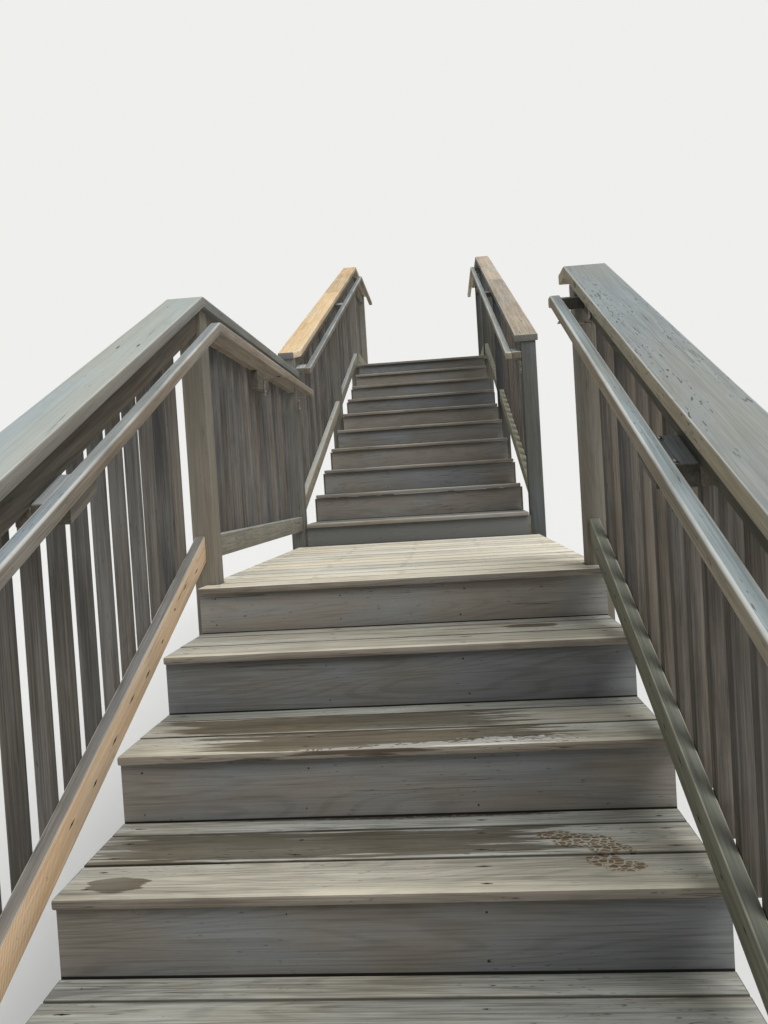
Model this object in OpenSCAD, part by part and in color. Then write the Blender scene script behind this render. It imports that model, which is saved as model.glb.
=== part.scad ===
// Outdoor timber stair: a lower flight, a landing, an upper flight and a top platform,
// with a railing of posts, square balusters, flat caps and slim handrails.
// X runs across the stair, Y runs uphill, Z is up; the legs stand on Z = 0.

/* [Lower flight] */
// Number of treads below the landing
lower_treads = 6; // [3:1:9]
// Height of each step of the lower flight
lower_rise = 190; // [150:1:210]
// Height of the last step, up to the landing
landing_rise = 172; // [140:1:210]
// Depth from nosing to nosing in the lower flight
lower_going = 389; // [300:1:420]

/* [Landing] */
// Depth of the landing, from its nosing to the first riser of the upper flight
landing_depth = 2015; // [1200:5:3000]

/* [Upper flight] */
// Number of treads between the landing and the top platform
upper_treads = 9; // [4:1:12]
// Height of the first step, from the landing to its tread
upper_first_rise = 142; // [120:1:210]
// Height of every other step of the upper flight
upper_rise = 177; // [150:1:210]
// Depth from nosing to nosing in the upper flight
upper_going = 432; // [300:1:440]
// Gap between the ends of the tread and riser boards and the posts
upper_end_gap = 14; // [2:1:60]

/* [Top platform] */
// Depth of the top platform, nosing to rear edge
top_depth = 1300; // [900:10:2400]

/* [Boards] */
// Thickness of the tread and deck boards
board_t = 25; // [20:1:40]
// Width of a full tread board
tread_board_w = 160; // [90:1:190]
// Width of a full deck board
deck_board_w = 140; // [90:1:190]
// Gap between two deck boards
board_gap = 4; // [2:0.5:8]
// How far a tread stands out in front of its riser
nosing = 22; // [10:1:35]
// Radius of the eased edges of a board
ease = 5; // [2:0.5:8]
// Thickness of the riser boards
riser_t = 19; // [16:1:30]
// Gap left under the foot of a riser
riser_gap = 3; // [0:0.5:8]
// How far the decks and the lower treads run past the outer stringers at each end
overrun = 47; // [20:1:60]

/* [Frame] */
// Clear width between the posts
clear_w = 1396; // [1000:2:1800]
// Thickness of the framing lumber, rails and balusters
lumber_t = 38; // [30:1:45]
// Depth of the stringers before their steps are cut
stringer_depth = 286; // [260:1:320]
// Depth of the joists and rims under the decks
joist_depth = 235; // [230:1:290]
// Number of stringers across a flight
stringer_count = 4; // [3:1:5]
// Number of joists between the side rims of a deck
joist_count = 3; // [2:1:5]

/* [Railing] */
// Width of a square post
post_w = 89; // [80:1:140]
// Distance from a flight's head nosing back to its top post
post_setback = 110; // [60:1:160]
// Distance from the first riser of the upper flight back to its lowest post
foot_setback = 20; // [0:1:60]
// Distance from the front of that post to the front of the middle post
mid_post_run = 2185; // [1600:5:2600]
// Width of the top and bottom rails, on edge
rail_w = 89; // [60:1:140]
// How far the rails stand back from the inner face of the posts
rail_inset = 13; // [5:1:20]
// Centre distance of the balusters
baluster_pitch = 130; // [100:1:160]
// How far the balusters stop short of the rails' outer edges
baluster_reveal = 10; // [4:1:25]
// Width of the flat cap board
cap_w = 140; // [120:1:190]
// Height of the level caps above the deck, to the top
cap_level = 1090; // [950:5:1150]
// Height of the sloping cap above the nosing line of the lower flight
cap_over_lower = 1033; // [900:1:1075]
// Height of the sloping cap above the nosing line of the upper flight
cap_over_upper = 1060; // [900:1:1075]
// How much wider the lower right cap is than the others, on its inner side
wide_cap_extra = 12; // [0:1:25]
// How far the upper caps sit in from the middle of their posts
cap_shift = 12; // [0:1:25]
// Overhang of a cap past the front of its lowest post
cap_overhang = 10; // [0:1:60]
// Height of the sloping bottom rails above the nosing line
rail_lift = 2; // [0:1:60]
// Height of the lower left bottom rail above the nosing line
left_rail_lift = 19; // [0:1:60]
// How far the lower left bottom rail and balusters stand out from the rail under the cap
left_rail_out = 25; // [0:1:25]
// Height of the level bottom rails above the deck
level_lift = 100; // [60:1:140]

/* [Handrail] */
// Height of the level handrails above the deck, to the top
hand_level = 980; // [850:5:1050]
// Height of the sloping handrail above the nosing line of the lower flight
hand_over_lower = 942; // [850:1:965]
// Height of the sloping handrail above the nosing line of the upper flight
hand_over_upper = 955; // [850:1:965]
// Clear space between the handrail and the face of the posts
hand_gap = 59; // [40:1:80]
// How far the landing's handrail runs past the front of the upper flight's post
hand_pass = 65; // [0:5:85]
// How far the lower right handrail runs on past its bend
hand_return = 40; // [20:5:60]
// Length of the blocks that hold a handrail off a post
block_len = 89; // [60:1:89]
// Length of the flat block under each lower handrail, along the flight
rail_block_len = 140; // [80:5:240]
// Distance from the landing's nosing down the flight to the front of that block
rail_block_run = 1190; // [600:10:1800]
// Length of the block under the landing's rail, which carries a bracket
landing_block_len = 240; // [120:10:400]
// Distance from the landing's nosing back to that block
landing_block_run = 1060; // [400:10:1500]
// Thickness of the steel strap brackets
strap_t = 5; // [3:0.5:8]
// Width of the brackets
strap_w = 24; // [18:1:40]
// Height of a bracket's leg
strap_leg = 90; // [60:5:120]
// Distance from the bend of the lower right handrail down to its bracket
strap_run = 180; // [60:5:600]

/* [Hidden] */
$fn = 32;

LOWER = 0;
UPPER = 1;
LEFT = -1;
RIGHT = 1;

landing_z = lower_treads * lower_rise + landing_rise;
top_z = landing_z + upper_first_rise + upper_treads * upper_rise;
top_nose_y = landing_depth - nosing + upper_treads * upper_going;
top_back_y = top_nose_y + top_depth;
foot_nose_y = -lower_treads * lower_going;
// The whole stair is centred on the origin
shift_y = -(foot_nose_y + top_back_y) / 2;

post_x = clear_w / 2;
deck_half = post_x + overrun;
upper_half = post_x - upper_end_gap;
rail_x = post_x + rail_inset;
cap_x = post_x + post_w / 2 - cap_w / 2;
hand_x = post_x - hand_gap - lumber_t;

// Values of the two flights, lower one first: slope, place and height of the deck at the
// head, and height of the line through the treads' nosings there
flight_pitch = [lower_rise / lower_going, upper_rise / upper_going];
head_y = [0, top_nose_y];
deck_z = [landing_z, top_z];
line_z = [landing_z - landing_rise + lower_rise, top_z];

// Front faces of the posts, from the foot of the stair to its head
foot_post_y = foot_nose_y + nosing;
landing_post_y = post_setback;
upper_foot_post_y = landing_depth + foot_setback;
mid_post_y = upper_foot_post_y + mid_post_run;
head_post_y = top_nose_y + post_setback;
end_post_y = top_back_y - post_w;

// Height of the line through a flight's nosings, and the plumb height of a board laid along it
function nose_line(f, y) = line_z[f] + (y - head_y[f]) * flight_pitch[f];
function plumb(f, depth) = depth * sqrt(1 + flight_pitch[f] * flight_pitch[f]);

// Top edges of the long members: flight, height over the nosing line, height over the deck
cap_line = [[LOWER, cap_over_lower, cap_level], [UPPER, cap_over_upper, cap_level]];
hand_line = [[LOWER, hand_over_lower, hand_level], [UPPER, hand_over_upper, hand_level]];
foot_line = [for (f = [LOWER, UPPER]) [f, rail_lift + plumb(f, rail_w), level_lift + rail_w]];
left_foot_line = [LOWER, left_rail_lift + plumb(LOWER, rail_w), level_lift + rail_w];
level_line = [for (f = [LOWER, UPPER]) [f, cap_level, level_lift + rail_w]];
// Depths under the cap's top edge of the rail that carries it
rail_top = lumber_t;
rail_foot = lumber_t + rail_w;
// Depth of that rail's foot under the top edge of the lower handrails
rail_under_hand = rail_foot - (cap_over_lower - hand_over_lower) / plumb(LOWER, 1);

// Drop of a bracket's arm from the handrail to its leg, and the height of the leg's lower
// end against the handrail's underside where it hangs under the arm and where it stands up
arm_drop = 2 * strap_t;
leg_hung = -strap_leg - strap_t;
leg_stood = -arm_drop - 2 * strap_t;
// Length by which a cut runs on past the faces it goes through
cut = 1;

// Height of the edge that lies a given depth under a line's top, on the slope or on the level
function edge(line, y, depth) =
    min(deck_z[line[0]] + line[2] - depth, nose_line(line[0], y) + line[1] - plumb(line[0], depth));
// Where that edge bends from the slope to the level
function bend(line, depth) = head_y[line[0]]
    + (deck_z[line[0]] + line[2] - depth - line_z[line[0]] - line[1] + plumb(line[0], depth))
    / flight_pitch[line[0]];
// The corner of an edge at its bend, if the bend lies between y0 and y1
function corner(line, y0, y1, depth) =
    bend(line, depth) > y0 && bend(line, depth) < y1
        ? [[bend(line, depth), edge(line, bend(line, depth), depth)]] : [];
// Height of tread k of the lower flight, counted down from the landing, and its nosing
function lower_nose_y(k) = -k * lower_going;
function lower_nose_z(k) = k == 0 ? landing_z : landing_z - landing_rise - (k - 1) * lower_rise;
// Height of tread j of the upper flight, counted up from the landing, and its nosing
function upper_nose_y(j) = landing_depth - nosing + (j - 1) * upper_going;
function upper_nose_z(j) = landing_z + upper_first_rise + (j - 1) * upper_rise;

// Puts an outline drawn in Y and Z between two values of X
module slab(x0, x1) {
    translate([min(x0, x1), shift_y, 0])
        rotate([90, 0, 90])
            linear_extrude(height = abs(x1 - x0))
                children();
}

// The same outline on the left or the right side, from |x0| to |x1|
module side_slab(side, x0, x1) {
    slab(side * x0, side * x1) children();
}

// Section of a board with its four long edges eased
module board_section(w, t) {
    translate([ease, 0])
        square([w - 2 * ease, t]);
    translate([0, ease])
        square([w, t - 2 * ease]);
    for (y = [ease, w - ease], z = [ease, t - ease])
        translate([y, z])
            circle(r = ease);
}

// Boards laid across the stair from a nosing back to a limit, the last one ripped to width
module boards(y0, y1, z, half, width) {
    for (y = [y0:width + board_gap:y1 - 2 * ease])
        slab(-half, half)
            translate([y, z - board_t])
                board_section(min(width, y1 - y), board_t);
}

// Room cut out of the boards for a post
module post_notch(y) {
    for (side = [LEFT, RIGHT])
        side_slab(side, post_x - board_gap, deck_half + post_w)
            translate([y - board_gap, 0])
                square([post_w + 2 * board_gap, top_z + cap_level]);
}

module lower_tread(k) {
    color("#8c8672")
        difference() {
            boards(lower_nose_y(k), lower_nose_y(k - 1) + nosing, lower_nose_z(k),
                deck_half, tread_board_w);
            post_notch(foot_post_y);
        }
}

module upper_tread(j) {
    color("#8c8672")
        boards(upper_nose_y(j), upper_nose_y(j + 1) + nosing, upper_nose_z(j), upper_half, tread_board_w);
}

module landing_deck() {
    color("#a09a86")
        difference() {
            boards(0, landing_depth, landing_z, deck_half, deck_board_w);
            post_notch(landing_post_y);
        }
}

module top_deck() {
    color("#a09a86")
        difference() {
            boards(top_nose_y, top_back_y, top_z, deck_half, deck_board_w);
            post_notch(head_post_y);
            post_notch(end_post_y);
        }
}

// One riser board, from just over the tread below to the underside of the tread above
module riser(nose_y, top, height, half) {
    slab(-half, half)
        translate([nose_y + nosing, top - height + riser_gap])
            square([riser_t, height - riser_gap - board_t]);
}

module lower_risers() {
    color("#5f5f58")
        difference() {
            for (k = [0:lower_treads])
                riser(lower_nose_y(k), lower_nose_z(k), k == 0 ? landing_rise : lower_rise, deck_half);
            post_notch(foot_post_y);
        }
}

module upper_risers() {
    color("#5f5f58")
        for (j = [1:upper_treads + 1])
            riser(upper_nose_y(j), upper_nose_z(j), j == 1 ? upper_first_rise : upper_rise, upper_half);
}

// X of the left edge of stringer i
function stringer_x(i) = -post_x + i * (clear_w - lumber_t) / (stringer_count - 1);

// Outline of a stringer: steps along the top, a straight lower edge, plumb cut at its head
module stringer_outline(f, corners, foot_z) {
    head = corners[len(corners) - 1];
    foot = corners[0];
    drop = plumb(f, stringer_depth);
    steps = [for (i = [0:len(corners) - 2])
        each [corners[i], [corners[i + 1][0], corners[i][1]]]];
    edge_y = foot[0] + (foot_z - foot[1] + drop) / flight_pitch[f];
    polygon(concat(
        steps,
        [[head[0], foot[1] + (head[0] - foot[0]) * flight_pitch[f] - drop]],
        edge_y > foot[0] ? [[edge_y, foot_z], [foot[0], foot_z]] : [[foot[0], foot[1] - drop]]));
}

module lower_stringers() {
    back = nosing + riser_t;
    corners = [for (k = [lower_treads:-1:0]) [lower_nose_y(k) + back, lower_nose_z(k) - board_t]];
    color("#6d6655")
        for (i = [0:stringer_count - 1])
            slab(stringer_x(i), stringer_x(i) + lumber_t)
                stringer_outline(LOWER, corners, 0);
}

module upper_stringers() {
    back = nosing + riser_t;
    corners = [for (j = [1:upper_treads + 1]) [upper_nose_y(j) + back, upper_nose_z(j) - board_t]];
    color("#6d6655")
        for (i = [0:stringer_count - 1])
            slab(stringer_x(i), stringer_x(i) + lumber_t)
                stringer_outline(UPPER, corners, landing_z - board_t - joist_depth);
}

// Rims and joists under a deck, between a front face and a rear face
module deck_frame(y0, y1, z) {
    color("#6d6655") {
        for (y = [y0, y1 - lumber_t])
            slab(-post_x, post_x)
                translate([y, z - board_t - joist_depth])
                    square([lumber_t, joist_depth]);
        for (i = [0:joist_count + 1])
            translate([i * (clear_w - lumber_t) / (joist_count + 1) - post_x, 0, 0])
                slab(0, lumber_t)
                    translate([y0, z - board_t - joist_depth])
                        square([y1 - y0, joist_depth]);
    }
}

module landing_frame() {
    deck_frame(nosing + riser_t, landing_depth + riser_t, landing_z);
}

module top_frame() {
    deck_frame(top_nose_y + nosing + riser_t, top_back_y - nosing, top_z);
}

// A member between two depths under a line, from y0 to y1, mitred where the line bends
module member(side, x0, x1, line, y0, y1, top, foot) {
    side_slab(side, x0, x1)
        polygon(concat(
            [[y0, edge(line, y0, top)]], corner(line, y0, y1, top),
            [[y1, edge(line, y1, top)], [y1, edge(line, y1, foot)]], corner(line, y0, y1, foot),
            [[y0, edge(line, y0, foot)]]));
}

// An upright from y to y + w that ends at a depth under each of two lines
module upright(side, x0, x1, y, w, low, low_depth, high, high_depth) {
    side_slab(side, x0, x1)
        polygon(concat(
            [[y, edge(high, y, high_depth)]], corner(high, y, y + w, high_depth),
            [[y + w, edge(high, y + w, high_depth)], [y + w, edge(low, y + w, low_depth)]],
            corner(low, y, y + w, low_depth), [[y, edge(low, y, low_depth)]]));
}

// One post from the ground up, its top cut to the cap's underside
module post(side, y, f) {
    side_slab(side, post_x, post_x + post_w)
        polygon(concat(
            [[y, edge(cap_line[f], y, rail_top)]], corner(cap_line[f], y, y + post_w, rail_top),
            [[y + post_w, edge(cap_line[f], y + post_w, rail_top)], [y + post_w, 0], [y, 0]]));
}

module lower_posts(side) {
    color("#6b6a5c")
        for (y = [foot_post_y, landing_post_y])
            post(side, y, LOWER);
}

module upper_posts(side) {
    color("#6b6a5c")
        for (y = [upper_foot_post_y, mid_post_y, head_post_y, end_post_y])
            post(side, y, UPPER);
}

// One bay between two posts: a bottom rail, a rail under the cap, and the balusters
// fixed to their outer faces. low is the line of the bottom rail's top edge, and out is
// how far that rail stands out; the rail under the cap is packed out as far.
module bay(side, f, low, y0, y1, out) {
    x1 = rail_x + out + lumber_t;
    member(side, rail_x + out, x1, low, y0, y1, 0, rail_w);
    member(side, rail_x, x1, cap_line[f], y0, y1, rail_top, rail_foot);
    count = floor((y1 - y0 - lumber_t) / baluster_pitch);
    first = (y0 + y1 - (count - 1) * baluster_pitch - lumber_t) / 2;
    for (i = [0:count - 1])
        upright(side, x1, x1 + lumber_t, first + i * baluster_pitch, lumber_t,
            low, rail_w - baluster_reveal, cap_line[f], rail_top + baluster_reveal);
}

module lower_rail(side, low, out) {
    color("#75695a")
        bay(side, LOWER, low, foot_post_y + post_w, landing_post_y, out);
}

module landing_rail() {
    color("#75695a")
        bay(LEFT, LOWER, level_line[LOWER], landing_post_y + post_w, upper_foot_post_y, 0);
}

module upper_rail(side) {
    color("#75695a") {
        bay(side, UPPER, foot_line[UPPER], upper_foot_post_y + post_w, mid_post_y, 0);
        bay(side, UPPER, foot_line[UPPER], mid_post_y + post_w, head_post_y, 0);
    }
}

module top_rail(side) {
    color("#75695a")
        bay(side, UPPER, level_line[UPPER], head_post_y + post_w, end_post_y, 0);
}

// A flat cap board over the posts, from its inner edge at x0 out
module cap(side, f, x0, w, y0, y1) {
    color("#9a9c8c")
        member(side, x0, x0 + w, cap_line[f], y0, y1, 0, lumber_t);
}

module handrail(side, f, y0, y1) {
    color("#8e8f82")
        member(side, hand_x, hand_x + lumber_t, hand_line[f], y0, y1, 0, lumber_t);
}

// Ends of the caps and handrails
foot_cap_y = foot_post_y - cap_overhang;
upper_cap_y = upper_foot_post_y - cap_overhang;
landing_hand_end_y = upper_foot_post_y + hand_pass;
right_hand_end_y = bend(hand_line[LOWER], 0) + hand_return;

// A flat block under the rail of the cap, reaching in under the handrail that rests on it
module rail_block(side) {
    y = -rail_block_run;
    foot = max(lumber_t, rail_under_hand) + lumber_t;
    member(side, hand_x + lumber_t / 2, rail_x, hand_line[LOWER], y, y + rail_block_len, lumber_t, foot);
    member(side, rail_x, rail_x + lumber_t, hand_line[LOWER], y, y + rail_block_len, rail_under_hand, foot);
}

// A block that holds the handrail off a post, or off the rail under the cap
module block(side, f, y, length, x1) {
    member(side, hand_x + lumber_t, x1, hand_line[f], y, y + length, 0, lumber_t);
}

// The blocks that both sides have, one at each post that carries a handrail and one
// between two posts of the lower flight
module post_blocks(side) {
    block(side, LOWER, foot_post_y, block_len, post_x);
    rail_block(side);
    for (y = [upper_foot_post_y, mid_post_y, head_post_y])
        block(side, UPPER, y, block_len, post_x);
}

module left_blocks() {
    color("#7a7768") {
        post_blocks(LEFT);
        // The block under the landing's rail
        member(LEFT, rail_x, rail_x + lumber_t, cap_line[LOWER], landing_block_run,
            landing_block_run + landing_block_len, rail_foot, rail_foot + rail_w);
    }
}

module right_blocks() {
    color("#7a7768") {
        post_blocks(RIGHT);
        block(RIGHT, LOWER, right_hand_end_y - block_len, block_len, rail_x);
    }
}

// A bent steel strap: a leg on an upright face, an arm, and a tab under the handrail.
// leg_foot is the height of the leg's lower end against the underside of the handrail.
module bracket(side, f, y, face, leg_foot) {
    low = edge(hand_line[f], y, lumber_t);
    rise = edge(hand_line[f], y + strap_w, lumber_t) - low;
    back = hand_x + lumber_t;
    leg = [[face, leg_foot], [face, leg_foot + strap_leg],
        [face - strap_t, leg_foot + strap_leg], [face - strap_t, leg_foot]];
    arm = [[face, -arm_drop], [back, 0], [back, rise], [hand_x, rise],
        [hand_x, -strap_t], [back, -strap_t], [face, -arm_drop - strap_t]];
    difference() {
        translate([0, y + strap_w + shift_y, low])
            rotate([90, 0, 0])
                linear_extrude(height = strap_w)
                    for (outline = [leg, arm])
                        polygon([for (p = outline) [side * p[0], p[1]]]);
        member(side, hand_x - cut, back + cut, hand_line[f], y - cut, y + strap_w + cut, 0, lumber_t);
    }
}

module left_brackets() {
    color("#8f8b80") {
        bracket(LEFT, LOWER, landing_block_run + landing_block_len / 2, rail_x, leg_hung);
        bracket(LEFT, LOWER, upper_foot_post_y + strap_w, post_x, leg_hung);
    }
}

module right_brackets() {
    color("#8f8b80") {
        bracket(RIGHT, LOWER, bend(hand_line[LOWER], 0) - strap_run, rail_x, leg_stood);
        bracket(RIGHT, UPPER, upper_foot_post_y + strap_w, post_x, leg_hung);
    }
}

for (k = [1:lower_treads])
    lower_tread(k);
for (j = [1:upper_treads])
    upper_tread(j);
lower_risers();
lower_stringers();
landing_deck();
landing_frame();
upper_risers();
upper_stringers();
top_deck();
top_frame();
lower_posts(LEFT);  // lower_left_posts
lower_posts(RIGHT);  // lower_right_posts
upper_posts(LEFT);  // upper_left_posts
upper_posts(RIGHT);  // upper_right_posts
lower_rail(LEFT, left_foot_line, left_rail_out);  // lower_left_rail
lower_rail(RIGHT, foot_line[LOWER], 0);  // lower_right_rail
landing_rail();
upper_rail(LEFT);  // upper_left_rail
upper_rail(RIGHT);  // upper_right_rail
top_rail(LEFT);  // top_left_rail
top_rail(RIGHT);  // top_right_rail
cap(LEFT, LOWER, cap_x, cap_w, foot_cap_y, upper_foot_post_y);  // lower_left_cap
cap(RIGHT, LOWER, cap_x - wide_cap_extra, cap_w + wide_cap_extra,  // lower_right_cap
        foot_cap_y, landing_post_y + post_w);
cap(LEFT, UPPER, cap_x - cap_shift, cap_w, upper_cap_y, top_back_y);  // upper_left_cap
cap(RIGHT, UPPER, cap_x - cap_shift, cap_w, upper_cap_y, top_back_y);  // upper_right_cap
handrail(LEFT, LOWER, foot_post_y, landing_hand_end_y);  // lower_left_handrail
handrail(RIGHT, LOWER, foot_post_y, right_hand_end_y);  // lower_right_handrail
handrail(LEFT, UPPER, upper_foot_post_y, top_back_y);  // upper_left_handrail
handrail(RIGHT, UPPER, upper_foot_post_y, top_back_y);  // upper_right_handrail
left_blocks();
right_blocks();
left_brackets();
right_brackets();
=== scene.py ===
import bpy
import math
import random
from mathutils import Matrix, Vector


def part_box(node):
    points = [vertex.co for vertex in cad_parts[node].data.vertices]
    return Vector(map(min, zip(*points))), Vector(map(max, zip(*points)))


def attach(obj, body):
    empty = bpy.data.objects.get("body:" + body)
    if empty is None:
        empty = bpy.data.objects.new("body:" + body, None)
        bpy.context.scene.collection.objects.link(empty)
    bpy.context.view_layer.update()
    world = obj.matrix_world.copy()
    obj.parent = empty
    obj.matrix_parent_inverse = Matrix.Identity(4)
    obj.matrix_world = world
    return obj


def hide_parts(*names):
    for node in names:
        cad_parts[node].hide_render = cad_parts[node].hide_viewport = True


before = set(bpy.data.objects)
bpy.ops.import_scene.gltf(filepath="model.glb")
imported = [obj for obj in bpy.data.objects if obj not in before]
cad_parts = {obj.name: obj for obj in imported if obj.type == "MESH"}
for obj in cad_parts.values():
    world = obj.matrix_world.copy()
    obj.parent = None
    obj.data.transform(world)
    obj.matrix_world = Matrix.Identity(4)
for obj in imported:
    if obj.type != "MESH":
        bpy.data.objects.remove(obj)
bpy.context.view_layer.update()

# Treads: three softwood boards each, 25 mm thick with eased edges, laid across the stringers
# 4 mm apart and nailed twice at each. Feet have worn the front boards pale, and rain lies on
# three of the lower treads.
BOARD_T = 0.025
BOARD_GAP = 0.004
TREAD_BOARD = 0.160
STRINGERS = (-0.679, -0.226, 0.226, 0.679)
POST_X, POST_W = 0.698, 0.089
FOOT_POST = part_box("lower_left_posts")[0].y
WANDER, SECTIONS = 0.0008, 8
NAIL_SINK, DEEP_SINK = 0.0005, 0.0006
RNG = random.Random(4)


def clear():
    bpy.ops.object.select_all(action="DESELECT")


def pick(piece, kind, chosen):
    """Goes into edit mode with only those edges or faces selected that are chosen."""
    bpy.ops.object.mode_set(mode="EDIT")
    bpy.ops.mesh.select_mode(type=kind)
    bpy.ops.mesh.select_all(action="DESELECT")
    bpy.ops.object.mode_set(mode="OBJECT")
    for part in piece.data.edges if kind == "EDGE" else piece.data.polygons:
        part.select = chosen(part)
    bpy.ops.object.mode_set(mode="EDIT")


def divide(piece, cuts):
    """Divides the edges that run along X."""
    def lengthwise(edge):
        a, b = (piece.data.vertices[v].co.x for v in edge.vertices)
        return abs(a - b) > 0.03

    pick(piece, "EDGE", lengthwise)
    bpy.ops.mesh.subdivide(number_cuts=cuts)
    bpy.ops.object.mode_set(mode="OBJECT")


def ease_edges(piece, width, segments, angle=30):
    """Rounds every edge that turns by more than an angle."""
    bevel = piece.modifiers.new("eased", "BEVEL")
    bevel.width, bevel.segments, bevel.limit_method = width, segments, "ANGLE"
    bevel.angle_limit = math.radians(angle)
    bpy.ops.object.modifier_apply(modifier=bevel.name)


def sawn(name, rings, ease, segments=2, clip=None, notches=()):
    """One sawn piece, run through its four-cornered sections, its edges eased. A clip cuts off
    what lies past a plane, and notches are boxes taken out."""
    clear()
    bpy.ops.mesh.primitive_cube_add(size=1)
    piece = bpy.context.active_object
    piece.name = piece.data.name = name
    if len(rings) > 2:
        divide(piece, len(rings) - 2)
    for v in piece.data.vertices:
        ring = rings[round((v.co.x + 0.5) * (len(rings) - 1))]
        v.co = ring[(1 if v.co.y > 0 else 0) + (2 if v.co.z > 0 else 0)]
    piece.data.update()
    if clip:
        bpy.ops.object.mode_set(mode="EDIT")
        bpy.ops.mesh.select_all(action="SELECT")
        bpy.ops.mesh.bisect(plane_co=clip[0], plane_no=clip[1], use_fill=True, clear_outer=True)
        bpy.ops.object.mode_set(mode="OBJECT")
    for low, high in notches:
        clear()
        bpy.ops.mesh.primitive_cube_add(size=1, location=(low + high) / 2, scale=high - low)
        cutter = bpy.context.active_object
        clear()
        piece.select_set(True)
        bpy.context.view_layer.objects.active = piece
        notch = piece.modifiers.new("notch", "BOOLEAN")
        notch.object = cutter
        bpy.ops.object.modifier_apply(modifier=notch.name)
        bpy.data.objects.remove(cutter)
    ease_edges(piece, ease, segments, 40)
    bpy.ops.object.mode_set(mode="EDIT")
    bpy.ops.mesh.select_all(action="SELECT")
    bpy.ops.mesh.normals_make_consistent(inside=False)
    bpy.ops.object.mode_set(mode="OBJECT")
    bpy.ops.object.shade_smooth_by_angle(angle=math.radians(35))
    return piece


def elsewhere():
    """Some other place in 40 m of wood."""
    return Vector([RNG.uniform(0, 40) for _ in range(3)])


def grained(piece, axis, tone=None, fade=None):
    """Stores each point's place along and across the grain, the piece's own tone, its arrises
    (1) and sawn ends (2), and how far a point lies between two places along X, Y or Z."""
    mesh = piece.data
    axis = Vector(axis).normalized()
    side = Vector((1, 0, 0)) if abs(axis.x) < 0.5 else Vector((0, 1, 0))
    up = axis.cross(side).normalized()
    side = up.cross(axis)
    tone = RNG.random() if tone is None else tone
    start = elsewhere()
    for name, kind, domain in (("grain", "FLOAT_VECTOR", "POINT"), ("tone", "FLOAT", "POINT"),
                               ("fade", "FLOAT", "POINT"), ("wear", "FLOAT", "FACE")):
        mesh.attributes.new(name, kind, domain)
    for v in mesh.vertices:
        along = start + Vector((v.co.dot(axis), v.co.dot(side), v.co.dot(up)))
        mesh.attributes["grain"].data[v.index].vector = along
        mesh.attributes["tone"].data[v.index].value = tone
        if fade:
            way, nothing, full = fade
            mesh.attributes["fade"].data[v.index].value = (v.co[way] - nothing) / (full - nothing)
    for p in mesh.polygons:
        end = abs(p.normal.dot(axis)) > 0.75
        flat = max(abs(p.normal.dot(side)), abs(p.normal.dot(up))) > 0.97
        mesh.attributes["wear"].data[p.index].value = 2 if end else 0 if flat else 1
    return piece


def plank(name, low, high, wood, ease=0.004, notches=(), **marks):
    """A board laid across the stair: its sections wander a little, as dried lumber does."""
    rings = []
    for i in range(SECTIONS + 1):
        x = low[0] + (high[0] - low[0]) * i / SECTIONS
        a, b, c = (RNG.uniform(0, WANDER) for _ in range(3))
        rings.append([Vector((x, y, z)) for z in (low[2], high[2] - c) for y in (low[1] + a, high[1] - b)])
    piece = grained(sawn(name, rings, ease, notches=notches), (1, 0, 0), **marks)
    piece.data.materials.append(wood)
    return piece


def courses(low, high, board):
    """Where each board of a tread or deck starts, and its width."""
    y = low.y
    while y < high.y - 0.01:
        yield y, min(board, high.y - y)
        y += board + BOARD_GAP


def notched(fronts, y, width):
    """The notches that clear the posts whose front faces lie at these places, for the board that
    starts at y. They reach out past its ends."""
    found = []
    for front in fronts:
        y0, y1 = front - BOARD_GAP, front + POST_W + BOARD_GAP
        for s in (-1, 1):
            x0, x1 = sorted((s * (POST_X - BOARD_GAP), s * 0.8))
            if y1 > y and y0 < y + width:
                found.append((Vector((x0, y0, -1)), Vector((x1, y1, 5))))
    return found


def twin(piece, place):
    """A copy of a piece with its own mesh, put through a matrix."""
    other = piece.copy()
    other.data = piece.data.copy()
    bpy.context.collection.objects.link(other)
    other.data.transform(place)
    return other


def nail(at, normal, along, model="split"):
    """A nail driven just under the face, with the split that it opens along the grain, its inside
    dark with painted shade, or stained over with no split."""
    normal, along = Vector(normal).normalized(), Vector(along).normalized()
    turn = Matrix((along, normal.cross(along), normal)).transposed().to_4x4()
    width = RNG.uniform(0.85, 1.15)
    size = Matrix.Diagonal((RNG.uniform(0.4, 1.3), width, 1, 1))
    return twin(NAILS[model], Matrix.Translation(at) @ turn @ size)


def nail_down(places, y, width, top, slack, free):
    """Nails through a board at each place along it where it is free: two, or one if narrow."""
    found = []
    for x in places:
        for share in (0.25, 0.75) if width > 0.1 else (0.5,):
            at = Vector((x + RNG.uniform(-0.008, 0.008), y + width * share + RNG.uniform(-slack, slack),
                         top - NAIL_SINK))
            if free(at):
                found.append(nail(at, (0, 0, 1), (1, 0, 0)))
    return found


def join(name, pieces):
    clear()
    for p in pieces:
        p.select_set(True)
    bpy.context.view_layer.objects.active = pieces[0]
    if len(pieces) > 1:
        bpy.ops.object.join()
    whole = bpy.context.active_object
    whole.name = whole.data.name = name
    return whole


def finish(name, pieces, node):
    """Joins the pieces into one, which stands for its solid and goes with the stair."""
    piece = join(name, pieces)
    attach(piece, "root")
    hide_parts(node)


def linear(code):
    rgb = [int(code[i:i + 2], 16) / 255 for i in (1, 3, 5)]
    return [c / 12.92 if c <= 0.04045 else ((c + 0.055) / 1.055) ** 2.4 for c in rgb] + [1.0]


def surface(name, values):
    """A material with some values set on its shader's own sockets. Gives it, its node tree and
    the shader's inputs."""
    m = bpy.data.materials.new(name)
    m.use_nodes = True
    inputs = m.node_tree.nodes["Principled BSDF"].inputs
    for socket, value in values.items():
        inputs[socket].default_value = value
    return m, m.node_tree, inputs


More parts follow.
